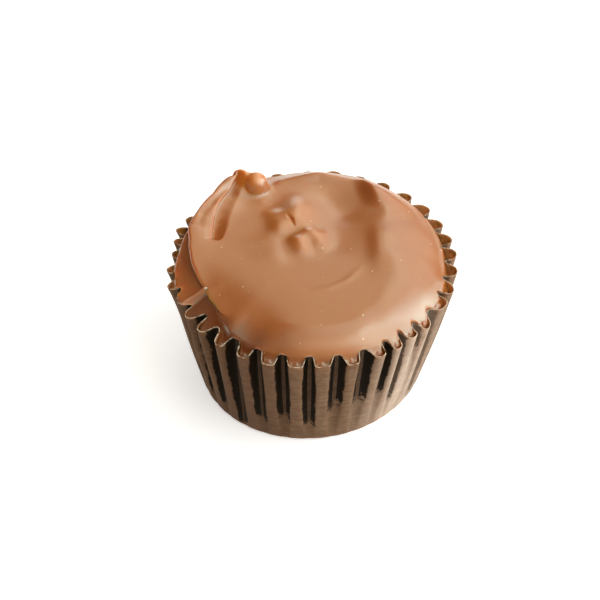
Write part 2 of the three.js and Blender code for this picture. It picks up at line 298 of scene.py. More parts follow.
def wall_point(column, level):
    """The middle of the paper at a column of the wall, from level 0 at the foot to 1 at the rim."""
    phase = column / COLUMNS_PER_PLEAT
    pleat = np.round(phase)
    number = pleat % PLEATS
    side = np.sign(phase - pleat)
    share = 2 * np.abs(phase - pleat)
    shares = np.linspace(0, 1, len(PLEAT_WIDTHS_HIGH))
    lobed = round_the_cup(fold_direction(phase), LOBED)

    def across_the_pleat(low, high, lobe):
        top = mix(np.interp(share, shares, high), np.interp(share, shares, lobe), lobed)
        return mix(np.interp(share, shares, low), top, ease(level * HIGH_FORM_SPEED))

    width = across_the_pleat(PLEAT_WIDTHS_LOW, PLEAT_WIDTHS_HIGH, PLEAT_WIDTHS_LOBED)
    depth = across_the_pleat(PLEAT_DEPTHS_LOW, PLEAT_DEPTHS_HIGH, PLEAT_DEPTHS_LOBED)
    crest = (1 + np.cos(np.pi * share)) / 2
    wider = RUFFLE_WIDTH * uneven(number, 4 + side) * level - WAIST * np.sin(np.pi * level)
    width = width + wider * np.sin(np.pi * share)
    sway = RUFFLE_TURN * uneven(number, 1) * level * crest
    angle = fold_direction(pleat + side * width / 2 + sway)
    fold_number = np.floor(phase) % PLEATS
    uneven_depth = 1 + RUFFLE_DEPTH * uneven(fold_number, 2)
    growth = round_the_cup(fold_direction(fold_number + 0.5), DEPTH_GROWTH)
    growth = growth + DEPTH_GROWTH_UNEVEN * uneven(fold_number, 7)
    for flattened, late in FLATTENED_FOLDS.items():
        growth = np.where(fold_number == flattened, late, growth)
    full_depth = round_the_cup(angle, PLEAT_DEPTH)
    above_foot = np.maximum(0, level - FOOT_BAND) / (1 - FOOT_BAND)
    fold = mix(FOOT_DEPTH, full_depth, above_foot**growth) * uneven_depth * depth
    radius = mix(BASE_RADIUS, RIM_RADIUS - PAPER / 2, level) + BELLY * np.sin(np.pi * level)
    for curled, out in CURLED_FOLDS.items():
        radius = radius + np.where(number == curled, out * crest * level**CURL_POWER, 0)
    radius = radius + BASE_SKEW * (1 - level) * np.sin(2 * angle) - fold
    x = radius * np.cos(angle) + BASE_SHIFT * (1 - level)
    y = radius * np.sin(angle)
    ruffled = RUFFLE_HEIGHT * uneven(number, 3) * crest + FOLD_RISE * depth
    return x, y, level * (rim_height(x, y) + ruffled)


def wall_face(column, level, outwards):
    """The wall's point moved out of the paper's middle, square to the pleated line."""
    before = wall_point(column - 1, level)
    here = wall_point(column, level)
    after = wall_point(column + 1, level)
    into = np.array([here[0] - before[0], here[1] - before[1]])
    onward = np.array([after[0] - here[0], after[1] - here[1]])
    into = into / np.hypot(*into)
    onward = onward / np.hypot(*onward)
    normal = np.array([into[1] + onward[1], -into[0] - onward[0]])
    normal = normal / np.hypot(*normal)
    mitre = np.maximum(SHARPEST_CORNER, normal[0] * into[1] - normal[1] * into[0])
    return here[0] + normal[0] * outwards / mitre, here[1] + normal[1] * outwards / mitre, here[2]


def wrapped_body(name, rows):
    """A closed body: a flat grid wrapped round the cup's axis, with its first and last rows drawn
    together into poles. Each row is a function that gives the places of its columns."""
    shape = bmesh.new()
    bmesh.ops.create_grid(shape, x_segments=COLUMNS, y_segments=len(rows) - 1, size=1)
    row_layer = shape.verts.layers.int.new("row")
    column_layer = shape.verts.layers.int.new("column")
    every_column = np.arange(COLUMNS, dtype=float)
    places = [np.broadcast_arrays(*points(every_column), every_column)[:3] for points in rows]
    places = np.array(places).transpose(0, 2, 1) * MILLIMETRE
    for corner in shape.verts:
        row = round((corner.co.y + 1) / 2 * (len(rows) - 1))
        column = round((corner.co.x + 1) / 2 * COLUMNS) % COLUMNS
        corner[row_layer] = row
        corner[column_layer] = column
        corner.co = places[row, column]
    bmesh.ops.remove_doubles(shape, verts=shape.verts, dist=1e-8)
    bmesh.ops.recalc_face_normals(shape, faces=shape.faces)
    mesh = bpy.data.meshes.new(name)
    shape.to_mesh(mesh)
    shape.free()
    mesh.shade_smooth()
    numbers = {}
    for layer in ("row", "column"):
        numbers[layer] = np.zeros(len(mesh.vertices), dtype=np.int32)
        mesh.attributes[layer].data.foreach_get("value", numbers[layer])
    body = bpy.data.objects.new(name, mesh)
    bpy.context.scene.collection.objects.link(body)
    return body, numbers["row"], numbers["column"]


def note(mesh, name, values):
    """Keeps a number for each point of a mesh, for its material to read."""
    mesh.attributes.new(name, "FLOAT", "POINT").data.foreach_set("value", np.asarray(values, dtype=float))


def wall_row(level, outwards):
    return lambda column: wall_face(column, level, outwards)


def foot_row(tilt, outwards):
    """A row of the rounded bend from the floor of the case up into its wall."""
    rise = FOOT_ROUNDING * (1 - math.cos(tilt))
    inset = FOOT_ROUNDING * (1 - math.sin(tilt))

    def points(column):
        x, y, _ = wall_face(column, rise / CASE_HEIGHT, outwards)
        inner = 1 - inset / np.hypot(x, y)
        return x * inner, y * inner, rise + (PAPER / 2 - outwards)
    return points


def floor_row(share, outwards):
    def points(column):
        x, y, _ = foot_row(0, outwards)(column)
        return mix(BASE_SHIFT, x, share), y * share, PAPER / 2 - outwards
    return points


outside = PAPER / 2
foot_level = FOOT_ROUNDING / CASE_HEIGHT
levels = [foot_level + (1 - foot_level) * (row / WALL_ROWS) for row in range(1, WALL_ROWS + 1)]
tilts = [math.radians(tilt) for tilt in (0, 30, 60, 90)]
floor_shares = (0.4, 0.8)
outer_rows = (
    [lambda column: (BASE_SHIFT, 0, 0)]
    + [floor_row(share, outside) for share in floor_shares]
    + [foot_row(tilt, outside) for tilt in tilts]
    + [wall_row(level, outside) for level in levels]
)
inner_rows = (
    [lambda column: (BASE_SHIFT, 0, PAPER)]
    + [floor_row(share, -outside) for share in floor_shares]
    + [foot_row(tilt, -outside) for tilt in tilts]
    + [wall_row(level, -outside) for level in levels]
)


def cut_edge(column):
    x, y, z = wall_face(column, 1, 0)
    return x, y, z + CUT_EDGE_RISE * PAPER


case_rows = outer_rows + [cut_edge] + inner_rows[::-1]
case, case_row, case_column = wrapped_body("paper_case_skin", case_rows)

# The inward folds are darkened, partly by fat from the chocolate soaked into the paper and partly by
# painted shade in the deep folds, down to this share of the height, and in the folds numbered here it
# stops higher up.
DARK_FOLD_END = 0.16
DARK_FOLD_END_UNEVEN = 0.08
SHORTER_DARK_FOLDS = {21: 0.22, 22: 0.42, 23: 0.45, 24: 0.44, 25: 0.3, 26: 0.8}
case_phase = case_column / COLUMNS_PER_PLEAT
valley = np.floor(case_phase)
dark_fold_end = DARK_FOLD_END + DARK_FOLD_END_UNEVEN * uneven(valley, 5)
for number, end in SHORTER_DARK_FOLDS.items():
    dark_fold_end = np.where(valley == number, end, dark_fold_end)
place_z = np.array([corner.co.z for corner in case.data.vertices]) / MILLIMETRE
note(case.data, "from_fold", 2 * np.abs(case_phase - np.round(case_phase)))
note(case.data, "above_the_dark_fold", place_z / CASE_HEIGHT - dark_fold_end)
# How far the folds are darkened by fat stain and painted shade, how far the whole paper is
# darkened by painted shade on the side away from the lamps, and how far it is lightened by
# painted light on the side that faces them.
STAIN_AND_SHADE = [(0, 0.6), (60, 0.6), (150, 0.7), (190, 1), (300, 1), (318, 0.6), (335, 0.5)]
note(case.data, "stain_and_shade_side", round_the_cup(fold_direction(case_phase), STAIN_AND_SHADE))
PAINTED_SHADE_SIDE = [(60, 0.1), (120, 0.3), (190, 0.5), (225, 0.6), (252, 0.5), (264, 0.12), (276, 0)]
note(case.data, "painted_shade_side", round_the_cup(fold_direction(case_phase), PAINTED_SHADE_SIDE))
PAINTED_LIGHT_SIDE = [(0, 0.1), (60, 0.1), (150, 0), (285, 0), (300, 0.2), (312, 0.6), (324, 0.45), (336, 0.15)]
note(case.data, "painted_light_side", round_the_cup(fold_direction(case_phase), PAINTED_LIGHT_SIDE))
note(case.data, "inside", case_row > len(outer_rows))
note(case.data, "cut_edge", np.abs(case_row - len(outer_rows)) <= 1)

PAPER_BROWN = (0.135, 0.073, 0.038, 1)
# the darkest colour, for the fat stain and painted shade in the inward folds
PAPER_DARK = (0.009, 0.0045, 0.001, 1)
PAPER_WORN = (0.25, 0.150, 0.085, 1)
# painted shade for the paper on the side away from the lamps
PAPER_PAINTED_SHADE = (0.075, 0.036, 0.016, 1)
# painted light for the paper on the side that faces the lamps
PAPER_PAINTED_LIGHT = (0.82, 0.60, 0.46, 1)
PAPER_GREASED = (0.228, 0.1088, 0.0508, 1)
PAPER_MOTTLED = (0.102, 0.046, 0.0196, 1)
PAPER_EDGE = (0.75, 0.60, 0.46, 1)


def noted(wire, name):
    """What note() kept under a name."""
    return wire.make("Attribute", {"attribute_name": name}, output="Fac")


def noise(wire, place, scale, detail, roughness=0.5):
    inputs = {"Vector": place, "Scale": scale, "Detail": detail, "Roughness": roughness}
    return wire.make("TexNoise", inputs=inputs, output="Fac")


brown_paper, paper_shader, wire = new_finish("brown paper")
place = wire.make("TexCoord", output="Object")
grain = noise(wire, place, 900, 4, 0.6)
stain = noise(wire, place, 320, 3, 0.55)
blotch = noise(wire, place, 500, 3, 0.6)
speckle = noise(wire, place, 1700, 2)
# the fibres of the paper, which lie round the cup
fibres = wire.make("Mapping", inputs={"Vector": place, "Scale": (400, 400, 3200)}, output="Vector")
fibre = noise(wire, fibres, 1, 2)
# the darkening on both sides of each inward fold, partly fat stain and partly painted shade, with a
# ragged outline and a paler line on the crease, partly less stained and partly painted light there
from_fold = noted(wire, "from_fold")
stain_and_shade_side = noted(wire, "stain_and_shade_side")
ragged = (blotch - 0.5) + 0.5 * (speckle - 0.5) + 0.9 * (stain - 0.5)
stain_and_shade_band = (from_fold + 0.30 * ragged).between(0.40, 0.50)
crease = (from_fold + 0.05 * ragged).between(0.886, 0.912)
lowest = (noted(wire, "above_the_dark_fold") + 0.3 * ragged).between(-0.04, 0.05)
fold_stain_and_shade = stain_and_shade_band * (1 - 0.45 * crease) * lowest
worn = fibre.between(0.4, 0.65) * 0.35 + grain.between(0.35, 0.75) * 0.35
painted_light = noted(wire, "painted_light_side") * (0.7 + 0.6 * (grain - 0.5))
outer_colour = blended(worn, PAPER_BROWN, PAPER_WORN)
# painted shade on the side away from the lamps
outer_colour = blended(noted(wire, "painted_shade_side"), outer_colour, PAPER_PAINTED_SHADE)
# painted light on the side that faces the lamps, mottled by the grain of the paper
outer_colour = blended(painted_light, outer_colour, PAPER_PAINTED_LIGHT)
# the folds' fat stain and painted shade
outer_colour = blended(fold_stain_and_shade * stain_and_shade_side, outer_colour, PAPER_DARK)
mottled = (0.6 * stain + 0.4 * blotch).between(0.46, 0.55)
inner_colour = blended(mottled, PAPER_GREASED, PAPER_MOTTLED)
paper_colour = blended(noted(wire, "inside"), outer_colour, inner_colour)
# the torn fibres of the cut edge, palest where the folds are most stained and shaded
torn = noted(wire, "cut_edge") ** 8 * speckle.between(0.35, 0.6) * (0.12 + 0.5 * stain_and_shade_side)
paper_colour = blended(torn, paper_colour, PAPER_EDGE)
wire_up(paper_shader, "Base Color", paper_colour)
wire_up(paper_shader, "Roughness", 0.6 + 0.2 * grain)
paper_shader.inputs["Specular IOR Level"].default_value = 0.06
paper_shader.inputs["Subsurface Weight"].default_value = 0.7
paper_shader.inputs["Subsurface Radius"].default_value = (1.0, 0.7, 0.5)
paper_shader.inputs["Subsurface Scale"].default_value = 0.001
relief = fibre * 0.5 + grain * 0.6 + speckle * 0.3
bump = wire.make("Bump", inputs={"Height": relief, "Strength": 0.25, "Distance": 0.0002}, output="Normal")
wire_up(paper_shader, "Normal", bump)
case.data.materials.append(brown_paper)
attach(case, "root")
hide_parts("paper_case")

# The chocolate: crisped rice stirred into melted milk chocolate and spooned into the case. It
# set as a thick smooth plate with a lip and a groove that the spoon left, and a few grains show
# as bumps. It fills the pleats, and at the back and on the left it runs over their folds.
CHOCOLATE_GAP = 0.03  # between the chocolate and the paper
PLATEAU = 3.6  # height of the top above the rim, at the middle
BACK_FALL = 0.03  # slope of the top down to the back
FRONT_FALL = 0.0042  # and it falls away to the front, more and more
FRONT_FALL_START = 2.0
# The edge of the plate is rounded down in a shoulder: the radius where that ends, how wide the
# rounding is, how far it turns down in degrees, and the height of its foot above the rim.
SHOULDER_END = [
    (0, 19.7), (25, 19.6), (45, 20.2), (72, 20.7), (95, 20.8), (112, 20.6), (124, 20.6), (133, 21.1),
    (145, 20.5), (164, 20.6), (174, 19.8), (184, 19.4), (194, 18.9), (203, 18.5), (213, 18.6),
    (224, 19.4), (232, 20.2), (250, 20.8), (270, 21.0), (325, 21.2), (345, 20.6),
]
SHOULDER_WIDTH = [
    (0, 9), (25, 8), (50, 4.2), (72, 2.9), (100, 2.8), (112, 1.4), (125, 0.5), (206, 0.5), (216, 1.0),
    (226, 2.5), (236, 4.5), (248, 5), (270, 4.5), (290, 4.5), (305, 6), (330, 8),
]
SHOULDER_TURN = [
    (0, 38), (25, 36), (50, 38), (72, 32), (100, 34), (112, 55), (125, 86), (205, 86), (232, 66),
    (250, 60), (285, 58), (305, 52), (330, 48),
]
SHOULDER_FOOT = [
    (0, 0.8), (25, 0.9), (50, 1.3), (72, 1.5), (100, 1.6), (130, 1.5), (165, 1.6), (200, 1.6),
    (212, 1.5), (225, 1.2), (243, 0.6), (270, 0.15), (320, 0.4),
]
STEEPEST_FOOT = 2.0  # slope to which the shoulder's foot is limited
# From the shoulder an apron of chocolate slopes on towards the paper, and is dished on the left.
APRON_SLOPE = [
    (0, 0.05), (25, 0.0), (50, 0.4), (72, 0.5), (110, 0.5), (150, 0.45), (170, 0.4), (196, 0.38),
    (212, 0.5), (228, 0.5), (245, 0.3), (300, 0.2), (335, 0.5),
]
APRON_FILLET = 0.7  # length over which the shoulder runs out into the apron
APRON_HOLLOW = [(150, 0), (185, 0.1), (205, 0.15), (214, 0.05), (228, 0)]
# The radius from which the apron drops into the folds of the paper, and how steeply it does.
BRINK = [
    (0, 20.5), (40, 20.6), (65, 21.2), (90, 21.3), (120, 21.2), (145, 21.2), (172, 21.3), (184, 21.8),
    (200, 22.2), (250, 21.8), (300, 21.7), (335, 21.2),
]
BRINK_STEEPNESS = [(0, 3.6), (45, 3.2), (75, 2.4), (200, 2.4), (215, 0.9), (300, 0.9), (330, 2.6)]
BRINK_POWER = 1.5
BLOCK_RADIUS = 25  # the apron is worked out to here, past the paper
# Where the chocolate covers the inward folds of the paper (1), and where they stand free (0).
COVERED = [(30, 0), (48, 0.3), (66, 1), (215, 1), (235, 0.2), (300, 0.1), (335, 0)]
# On the left the plate ends in a lip instead of a shoulder: where it does (1), how high the lip
# is above the rim, and how far in from it the top is drawn up.
LIP_SHARE = [(98, 0), (124, 1), (207, 1), (230, 0)]
LIP_HEIGHT = [
    (60, 3.2), (76, 2.75), (91, 2.75), (104, 2.9), (112, 3.2), (117, 3.8), (121.5, 4.9), (126, 6.3),
    (131, 5.6), (137, 5.1), (144, 4.9), (150, 4.6), (157, 4.3), (164, 4.0), (174, 3.8), (184, 3.7),
    (194, 3.5), (203, 3.4), (213, 3.2), (224, 2.9), (236, 2.8),
]
LIP_REACH = [(60, 2.2), (105, 2.2), (125, 3.2), (150, 3.2), (180, 3.0), (205, 4.5), (230, 5.5), (250, 4)]
LIP_CREST = 0.6  # where the lip is highest, in from the shoulder's end, as a share of its width
LIP_ROLL = 0.4  # share of the shoulder's rows that roll over the lip
LIP_BEAD = 0.18  # and the share of the drop that they make
LIP_UNDERCUT = 0.45  # how far the face below the lip is drawn in
LIP_UNDERCUT_PLACE = 0.8  # the power that puts its deepest line above the middle of that face
LIP_FACE_POWER = 1.6  # the face drops quickly at first and runs out at its foot

# What lifts or hollows the top: the line that each swell lies along, how far it lifts the surface
# at each point of that line, and how far it reaches to the right and to the left of the way that
# the line runs.
GRAINS = 5  # how many of the first swells are grains of crisped rice under the chocolate
SWELLS = [
    ([(-1.6, 14.4), (-2.9, 8.2), (-2.8, 6.8)], [0.0, 1.1, 1.0], 2.1, 2.6),
    ([(-6.1, 7.6), (-5.4, 5.0)], [0.5, 0.75], 1.6, 1.7),
    ([(-2.6, 2.0), (-0.9, 3.4)], [0.5, 0.6], 1.7, 1.15),
    ([(0.7, 2.9), (1.0, 1.6)], [0.6, 0.6], 1.6, 1.5),
    ([(-2.0, 0.9), (-1.8, -0.2)], [0.6, 0.6], 1.7, 1.1),
    ([(-6.6, 1.4), (-6.2, -1.8)], [0.25, 0.25], 2.8, 1.9),
    ([(9.0, 16.6), (9.9, 13.2), (11.6, 9.4)], [1.3, 1.25, 0.3], 1.5, 3.4),
    ([(10.5, 2.4), (10.6, -1.4)], [0.6, 0.6], 1.8, 5.5),
    # the saddle between the lip and the round grain
    ([(-12.0, 16.4), (-9.8, 15.4)], [0.0, 0.9], 1.2, 1.2),
    # the crack between two grains
    ([(-4.1, 7.2), (-3.5, 6.2), (-3.2, 5.2)], [-0.1, -0.35, -0.2], 0.28, 0.28),
    # what the spoon left: two shallow bowls and the edge of a swirl
    ([(3.4, 11.6), (4.6, 9.8)], [-0.8, -0.8], 3.6, 3.6),
    ([(4.6, 6.0), (3.8, 2.5)], [-0.4, -0.4], 4.2, 3.8),
    ([(7.4, -4.6), (5.2, -7.6), (2.2, -9.2), (-1.4, -9.6)], [0.04, 0.09, 0.09, 0.0], 0.6, 0.6),
    # the raised back edge, with a low place beyond each end of it
    ([(-5.0, 17.2), (1.0, 18.2), (7.0, 16.9)], [0.2, 0.6, 0.3], 1.1, 1.1),
    ([(-8.0, 18.4), (-3.0, 20.2)], [-0.8, -0.5], 1.9, 1.9),
    ([(4.4, 19.8), (10.0, 17.2)], [-0.5, -0.8], 1.9, 1.9),
    # the plate falls away to the front on the left
    ([(-19.0, -10.2), (-11.6, -17.2)], [-1.7, -1.9], 5.4, 5.4),
]
# The groove that the tip of the spoon left beside the lip: its middle, half width and depth.
GROOVE_PATH = [
    (-11.5, 16.0), (-11.9, 14.8), (-12.7, 13.0), (-13.6, 11.2), (-14.2, 9.5), (-14.65, 7.6),
    (-14.8, 5.9), (-15.1, 4.0), (-15.15, 3.5),
]
GROOVE_WIDTH = [0.7, 0.9, 1.05, 1.25, 1.35, 1.35, 1.3, 1.1, 1.0]
GROOVE_DEPTH = [0.3, 0.7, 0.8, 0.8, 0.75, 0.75, 0.85, 1.0, 1.0]
GROOVE_END = 1.3  # how far the round end reaches, as a share of the half width there
GROOVE_DEEPEST = 0.88  # where its deepest line runs: 1 is its edge towards the lip, -1 the other
# The side of the groove towards the lip: distances from the deepest line, how much of the depth is
# left there, and how far the paste leans out over the groove.
GROOVE_SIDE = [0, 0.15, 0.30, 0.45, 0.60, 0.80, 1.10, 1.50, 2.20]
GROOVE_SIDE_DEPTH = [1, 0.84, 0.62, 0.44, 0.34, 0.26, 0.14, 0.04, 0]
GROOVE_SIDE_LEAN = [0, 0.14, 0.30, 0.47, 0.66, 0.68, 0.58, 0.38, 0]
LEAN_DIRECTION = (0.96, -0.29)
# The strip between the lip and the groove is hollow along this line.
STRIP_HOLLOW = [(-12.9, 15.1), (-14.9, 13.1), (-16.3, 11.1), (-17.6, 8.4), (-18.4, 5.0)]
STRIP_HOLLOW_RISE = [-0.3, -0.38, -0.36, -0.2, 0.0]
STRIP_HOLLOW_WIDTH = 0.42
# One round grain stands beside the lip, nearly whole: its middle, how softly it joins the top, and
# how steeply the form that is joined runs down outside its own width.
BALL = (-9.2, 14.75, 4.35)
BALL_RADIUS = 1.85
BALL_JOIN = 0.3
BALL_SKIRT = 4
# A rib runs down from the lip on the left: its direction and width are in degrees.
RIB_DIRECTION = 203.2
RIB_WIDTH = 1.5
RIB_RISE = 1.05


def beside(x, y, path):
    """Distance to a line of points, how far to its left that is, and how far along the line."""
    best = np.full(np.shape(x), 1e9)
    aside = np.zeros(np.shape(x))
    at = np.zeros(np.shape(x))
    for number, ((ax, ay), (bx, by)) in enumerate(zip(path, path[1:])):
        dx, dy = bx - ax, by - ay
        share = np.clip(((x - ax) * dx + (y - ay) * dy) / (dx * dx + dy * dy), 0, 1)
        offx, offy = x - ax - share * dx, y - ay - share * dy
        distance = np.hypot(offx, offy)
        nearer = distance < best
        best = np.where(nearer, distance, best)
        aside = np.where(nearer, (dx * (y - ay) - dy * (x - ax)) / math.hypot(dx, dy), aside)
        at = np.where(nearer, number + share, at)
    return best, aside, at


def along_rise(at, rises):
    return np.interp(at, np.arange(len(rises)), rises)


def swollen(x, y, line, rises, right_reach, left_reach):
    """How far one swell lifts the top at a place."""
    distance, aside, at = beside(x, y, line)
    past = np.sqrt(np.maximum(0, distance**2 - aside**2))
    reach = np.where(aside > 0, left_reach, right_reach)
    away = np.hypot(aside / reach, 2 * past / (left_reach + right_reach))
    return along_rise(np.floor(at) + ease(at % 1), rises) * swell(away, 1)


def across_groove(x, y):
    """How far along the groove a place is, how far past its end as a share of its width, and how
    far from its deepest line towards the lip, also as a share of the way from its other edge."""
    distance, aside, at = beside(x, y, GROOVE_PATH)
    width = along_rise(at, GROOVE_WIDTH)
    past = np.sqrt(np.maximum(0, distance**2 - aside**2)) / width / GROOVE_END
    narrower = width * np.sqrt(np.maximum(1e-4, 1 - np.minimum(1, past) ** 2))
    lipwards = -aside - GROOVE_DEEPEST * narrower
    return at, past, lipwards, 1 + lipwards / (narrower * (1 + GROOVE_DEEPEST))


def groove(x, y):
    """Depth of the groove: steep towards the lip and at its end, and soft on its other side."""
    at, past, lipwards, share = across_groove(x, y)
    side = np.interp(lipwards, GROOVE_SIDE, GROOVE_SIDE_DEPTH)
    hollow = np.where(lipwards > 0, side, ease(share) ** 0.8) * (1 - np.minimum(1, past) ** 3)
    return along_rise(at, GROOVE_DEPTH) * hollow


def overhang(x, y):
    """How far the surface leans away from the lip, at and beside that side of the groove."""
    at, past, lipwards, _ = across_groove(x, y)
    return np.interp(lipwards, GROOVE_SIDE, GROOVE_SIDE_LEAN) * ease(1.5 * at) * (1 - ease(past))


def plate(x, y, angle, radius):
    """Height of the poured plate above the rim, before its shoulder turns down."""
    height = PLATEAU - BACK_FALL * y - FRONT_FALL * np.maximum(0, -y - FRONT_FALL_START) ** 2
    crest = round_the_cup(angle, SHOULDER_END) - LIP_CREST * round_the_cup(angle, SHOULDER_WIDTH)
    drawn_up = swell(np.minimum(0, radius - crest), round_the_cup(angle, LIP_REACH))
    lift = round_the_cup(angle, LIP_HEIGHT) - height
    height = height + lift * round_the_cup(angle, LIP_SHARE) * drawn_up
    for swelling in SWELLS:
        height = height + swollen(x, y, *swelling)
    distance, _, at = beside(x, y, STRIP_HOLLOW)
    height = height + along_rise(at, STRIP_HOLLOW_RISE) * swell(distance, STRIP_HOLLOW_WIDTH)
    height = height - groove(x, y)
    from_middle = np.hypot(x - BALL[0], y - BALL[1])
    ball = BALL[2] + np.sqrt(np.maximum(0, BALL_RADIUS**2 - from_middle**2))
    ball = ball - BALL_SKIRT * np.maximum(0, from_middle - BALL_RADIUS)
    return (height + ball + np.sqrt((height - ball) ** 2 + BALL_JOIN)) / 2


def top_point(angle, share):
    """A point of the top: share 0 in the middle, 1 where the shoulder starts, 2 where it ends,
    and 3 at the edge of the block."""
    end = round_the_cup(angle, SHOULDER_END)
    width = round_the_cup(angle, SHOULDER_WIDTH)
    last = np.radians(round_the_cup(angle, SHOULDER_TURN))
    foot = round_the_cup(angle, SHOULDER_FOOT)
    slope = round_the_cup(angle, APRON_SLOPE)
    brink = round_the_cup(angle, BRINK)
    lip = round_the_cup(angle, LIP_SHARE)
    bend = last * np.clip(share - 1, 0, 1)
    beyond = np.maximum(0, share - 2) * (BLOCK_RADIUS - end)
    arc = width / np.sin(last)
    over = np.clip((share - 1) / LIP_ROLL, 0, 1)
    face = np.clip((share - 1 - LIP_ROLL) / (1 - LIP_ROLL), 0, 1)
    undercut = LIP_UNDERCUT * np.sin(math.pi * face**LIP_UNDERCUT_PLACE)
    lip_out = width * np.sin(over * math.pi / 2) - undercut
    radius = np.minimum(share, 1) * (end - width) + mix(arc * np.sin(bend), lip_out, lip) + beyond
    x, y = radius * np.cos(angle), radius * np.sin(angle)
    down = (1 - np.cos(bend)) / (1 - np.cos(last))
    lip_face = 1 - (1 - face) ** LIP_FACE_POWER
    lip_down = LIP_BEAD * (1 - np.cos(over * math.pi / 2)) + (1 - LIP_BEAD) * lip_face
    down = mix(down, lip_down, lip)
    rib = RIB_RISE * swell(angle - math.radians(RIB_DIRECTION), math.radians(RIB_WIDTH)) * ease(share - 1)
    drop = round_the_cup(angle, BRINK_STEEPNESS) * np.maximum(0, radius - brink) ** BRINK_POWER
    foot_slope = (PLATEAU - foot) * np.sin(last) / (1 - np.cos(last)) / (arc * np.cos(last))
    steeper = np.maximum(0, np.minimum(STEEPEST_FOOT, foot_slope) - slope)
    fillet = (1 - lip) * steeper * APRON_FILLET * (1 - np.exp(-beyond / APRON_FILLET))
    across_apron = np.clip(beyond / np.maximum(0.1, brink - end), 0, 1)
    dish = round_the_cup(angle, APRON_HOLLOW) * np.sin(math.pi * across_apron)
    apron = foot - slope * beyond - fillet - drop - dish + rib
    height = mix(plate(x, y, angle, radius), apron, down)
    lean = overhang(x, y) * (1 - down)
    return x + LEAN_DIRECTION[0] * lean, y + LEAN_DIRECTION[1] * lean, rim_height(x, y) + height


def share_at(angle, radius):
    """The share at which the top reaches a radius."""
    end = round_the_cup(angle, SHOULDER_END)
    width = round_the_cup(angle, SHOULDER_WIDTH)
    last = np.radians(round_the_cup(angle, SHOULDER_TURN))
    across = np.clip((radius - end + width) * np.sin(last) / width, 0, np.sin(last))
    on_shoulder = 1 + np.arcsin(across) / last
    on_plate = radius / (end - width)
    on_apron = 2 + (radius - end) / (BLOCK_RADIUS - end)
    return np.where(radius > end, on_apron, np.where(radius > end - width, on_shoulder, on_plate))


def surface_height(angle, radius):
    return top_point(angle, share_at(angle, radius))[2]


def angle_near(x, y, angle):
    """Direction of a place, counted on from a direction close to it."""
    return angle + (np.arctan2(y, x) - angle + math.pi) % (2 * math.pi) - math.pi


inwards = -(PAPER / 2 + CHOCOLATE_GAP)
columns = np.arange(COLUMNS, dtype=float)
even_angle = fold_direction(columns / COLUMNS_PER_PLEAT)
rim_x, rim_y, rim_z = wall_face(columns, 1, inwards)
rim_radius = np.hypot(rim_x, rim_y)
rim_angle = angle_near(rim_x, rim_y, even_angle)

# The chocolate is rounded off where it meets the paper, and most in the outward folds in front.
EDGE_ROUNDING = [(0, 0.4), (200, 0.35), (235, 0.8), (320, 0.8), (345, 0.45)]
from_fold = 2 * np.abs(columns / COLUMNS_PER_PLEAT - np.round(columns / COLUMNS_PER_PLEAT))
MORE_IN_A_FOLD = 1.2
LESS_BETWEEN_FOLDS = 0.5
fold_share = mix(MORE_IN_A_FOLD, LESS_BETWEEN_FOLDS, ease(2 * from_fold))
edge_rounding = round_the_cup(rim_angle, EDGE_ROUNDING) * fold_share

# It runs over the paper's edge as far out as its top stays clear of the rim.
CLEAR = 0.12
tries = np.linspace(17, 23.2, 125)  # radii, one twentieth of a millimetre apart
heights = np.array([surface_height(rim_angle, np.full(COLUMNS, radius)) for radius in tries])
above = heights > rim_z + CLEAR
reach = tries[np.where(above.all(axis=0), len(tries) - 1, np.argmin(above, axis=0))]
widest = RIM_RADIUS - PAPER - CHOCOLATE_GAP
cover_radius = mix(rim_radius, widest, round_the_cup(rim_angle, COVERED))
covers = reach > rim_radius

# Elsewhere it ends on the inside of the paper, at the level where the top comes down to it.
LOWEST_EDGE = 0.6
SETTLING = 0.7  # how much of the way each round goes towards the level it has found
edge_level = np.ones(COLUMNS)
for _ in range(6):
    edge_x, edge_y, edge_z = wall_face(columns, edge_level, inwards)
    edge_angle = angle_near(edge_x, edge_y, even_angle)
    edge_height = surface_height(edge_angle, np.hypot(edge_x, edge_y)) - edge_rounding
    wanted = edge_height / (edge_z / edge_level)
    edge_level = np.where(covers, 1, np.clip(mix(edge_level, wanted, SETTLING), LOWEST_EDGE, 1))
edge_x, edge_y, edge_z = wall_face(columns, edge_level, inwards)
edge_angle = angle_near(edge_x, edge_y, even_angle)
edge_radius = np.where(covers, np.minimum(cover_radius, reach), np.hypot(edge_x, edge_y))

# The rounded edge runs from an inner line on the top out to an outline at the paper.
THINNEST_EDGE = 0.05
room = surface_height(edge_angle, edge_radius) - edge_z - THINNEST_EDGE
bead = np.where(covers, np.clip(room, THINNEST_EDGE, edge_rounding), edge_rounding)
wall_x, wall_y, _ = wall_face(columns, edge_level, inwards - bead)
inner_x = np.where(covers, (edge_radius - bead) * np.cos(edge_angle), wall_x)
inner_y = np.where(covers, (edge_radius - bead) * np.sin(edge_angle), wall_y)
for _ in range(3):
    inner_x = (np.roll(inner_x, 1) + 2 * inner_x + np.roll(inner_x, -1)) / 4
    inner_y = (np.roll(inner_y, 1) + 2 * inner_y + np.roll(inner_y, -1)) / 4
outline_x, outline_y = edge_radius * np.cos(edge_angle), edge_radius * np.sin(edge_angle)
inner_angle = angle_near(inner_x, inner_y, even_angle)
last_share = share_at(inner_angle, np.hypot(inner_x, inner_y))
inner_height = top_point(inner_angle, last_share)[2]

# How finely the top is divided: rings in the middle of the plate, out to a share of its radius,
# then on the rest of it, on the shoulder, on the apron and on the rounded edge.
INNER_RINGS = 34
INNER_SHARE = 0.52
OUTER_RINGS = 60
SHOULDER_RINGS = 26
APRON_RINGS = 16
BEAD_RINGS = 4


